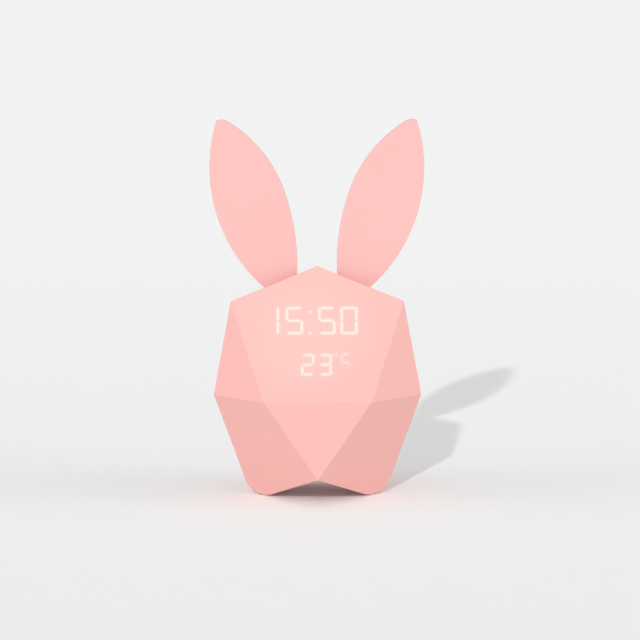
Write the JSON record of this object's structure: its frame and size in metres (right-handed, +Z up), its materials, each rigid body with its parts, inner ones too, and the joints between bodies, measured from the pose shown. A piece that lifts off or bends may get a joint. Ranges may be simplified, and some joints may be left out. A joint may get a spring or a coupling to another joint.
{
  "type": "kids alarm clock with night light",
  "caption": "Faceted bedside alarm clock on two rounded feet, with leaf-shaped upright ears, a display that shines through the front facet and a night light inside.",
  "frame": {"origin": "on the resting surface, midway between the front and rear tips and between the sides", "axes": "+Z up, the display faces -Y, +X to the right of someone who looks at the display"},
  "size_m": [0.1134, 0.0958, 0.2003],
  "materials": {
    "shell_pink": "smooth satin, slightly translucent",
    "ear_pink": "smooth satin",
    "panel_pink": "satin",
    "button_pink": "satin",
    "black_plastic": "fine moulded",
    "rubber_grey": "matte",
    "lit_white": "lit, warm white",
    "circuit_green": "solder mask",
    "steel": "plated",
    "paper_cone": "paper",
    "cell_wrap": "foil pouch",
    "tape": "foam tape",
    "lead_sleeve": "soft sleeve over two cores",
    "ribbon_film": "flat film with printed tracks"
  },
  "bodies": {
    "case": {"upper_shell": "shell_pink", "lower_shell": "shell_pink", "left_ear": "ear_pink", "right_ear": "ear_pink", "rear_panel": "panel_pink", "slide_switch": "black_plastic", "board_chips": "black_plastic", "display_mask": "black_plastic", "speaker_frame": "black_plastic", "battery_tray": "black_plastic", "foot_pads": "rubber_grey", "time_digits": "lit_white", "colon_dots": "lit_white", "temperature_digits": "lit_white", "degree_sign": "lit_white", "night_light_lamps": "lit_white", "display_board": "circuit_green", "main_board": "circuit_green", "night_light_board": "circuit_green", "display_screws": "steel", "board_screws": "steel", "panel_screws": "steel", "tray_screws": "steel", "night_light_screws": "steel", "ear_screws": "steel", "case_screws": "steel", "charging_port": "steel", "tact_switches": "steel", "reset_switch": "steel", "speaker_magnet": "steel", "speaker_cone": "paper_cone", "battery_cell": "cell_wrap", "battery_tape": "tape", "battery_lead": "lead_sleeve", "speaker_lead": "lead_sleeve", "lamp_lead": "lead_sleeve", "display_ribbon": "ribbon_film"},
    "alarm_button": {"alarm_button": "button_pink", "alarm_plunger": "black_plastic"},
    "light_button": {"light_button": "button_pink", "light_plunger": "black_plastic"},
    "minus_button": {"minus_button": "button_pink", "minus_plunger": "black_plastic"},
    "set_button": {"set_button": "button_pink", "set_plunger": "black_plastic"},
    "plus_button": {"plus_button": "button_pink", "plus_plunger": "black_plastic"},
    "alarm_slider": {"alarm_slider": "button_pink"}
  },
  "joints": [
    {"name": "alarm_press", "type": "slide", "parent": "case", "child": "alarm_button", "axis": [0, -0.8797, -0.4756], "range_m": [0, 0.0005], "stiffness_N_per_m": 2500, "springref_m": -0.0001},
    {"name": "light_press", "type": "slide", "parent": "case", "child": "light_button", "axis": [0, -0.8797, -0.4756], "range_m": [0, 0.0005], "stiffness_N_per_m": 2500, "springref_m": -0.0001},
    {"name": "minus_press", "type": "slide", "parent": "case", "child": "minus_button", "axis": [0, -0.8797, -0.4756], "range_m": [0, 0.0005], "stiffness_N_per_m": 2500, "springref_m": -0.0001},
    {"name": "set_press", "type": "slide", "parent": "case", "child": "set_button", "axis": [0, -0.8797, -0.4756], "range_m": [0, 0.0005], "stiffness_N_per_m": 2500, "springref_m": -0.0001},
    {"name": "plus_press", "type": "slide", "parent": "case", "child": "plus_button", "axis": [0, -0.8797, -0.4756], "range_m": [0, 0.0005], "stiffness_N_per_m": 2500, "springref_m": -0.0001},
    {"name": "alarm_slide", "type": "slide", "parent": "case", "child": "alarm_slider", "axis": [-1, 0, 0], "range_m": [0, 0.002]}
  ]
}
